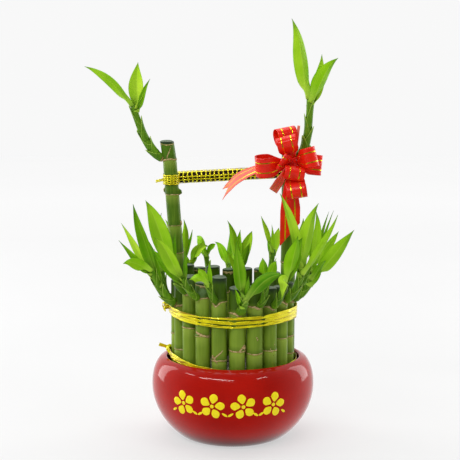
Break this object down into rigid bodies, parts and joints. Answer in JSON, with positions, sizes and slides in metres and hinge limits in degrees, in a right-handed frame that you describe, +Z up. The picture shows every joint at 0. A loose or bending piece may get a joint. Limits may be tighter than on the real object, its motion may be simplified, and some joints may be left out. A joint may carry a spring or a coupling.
{
  "type": "lucky bamboo in a round pot",
  "caption": "Lucky bamboo: ring of cut stalks tied with gold foil, two tall stalks with crossbar and red bow, in a round red glazed pot.",
  "frame": {"origin": "centre of the pot's flat base", "axes": "+Z up, the front of the plant faces -Y, +X to the right"},
  "size_m": [0.2275, 0.1752, 0.355],
  "materials": {
    "red_glaze": "gloss",
    "pebble": "matt",
    "stalk": "satin",
    "leaf": "satin",
    "bar": "matt",
    "gold_foil": "gloss",
    "ribbon": "satin"
  },
  "bodies": {
    "root": {"pot": "red_glaze", "pebble_bed": "pebble", "stalk_01": "stalk", "stalk_02": "stalk", "stalk_03": "stalk", "stalk_04": "stalk", "stalk_05": "stalk", "stalk_06": "stalk", "stalk_07": "stalk", "stalk_08": "stalk", "stalk_09": "stalk", "stalk_10": "stalk", "stalk_11": "stalk", "stalk_12": "stalk", "stalk_13": "stalk", "stalk_14": "stalk", "stalk_15": "stalk", "stalk_16": "stalk", "stalk_17": "stalk", "stalk_18": "stalk", "tall_stalk_left": "stalk", "tall_stalk_right": "stalk", "shoot_01": "leaf", "shoot_02": "leaf", "shoot_03": "leaf", "shoot_04": "leaf", "shoot_05": "leaf", "shoot_06": "leaf", "shoot_07": "leaf", "shoot_08": "leaf", "shoot_09": "leaf", "shoot_10": "leaf", "shoot_11": "leaf", "shoot_12": "leaf", "shoot_13": "leaf", "shoot_14": "leaf", "shoot_15": "leaf", "shoot_16": "leaf", "shoot_17": "leaf", "shoot_18": "leaf", "tall_shoot_left": "leaf", "tall_shoot_right": "leaf", "tie_upper": "gold_foil", "tie_lower": "gold_foil", "tie_twist": "gold_foil", "crossbar_net": "gold_foil", "lashing_left": "gold_foil", "crossbar": "bar", "lashing_right": "ribbon", "bow_knot": "ribbon", "bow_loop_left": "ribbon", "bow_loop_right_front": "ribbon", "bow_loop_right_back": "ribbon", "bow_loop_top_outer": "ribbon", "bow_loop_top_inner": "ribbon", "bow_loop_bottom_inner": "ribbon", "bow_loop_bottom_outer": "ribbon", "bow_tail_left": "ribbon", "bow_tail_down": "ribbon", "bow_tail_short": "ribbon"}
  },
  "joints": []
}
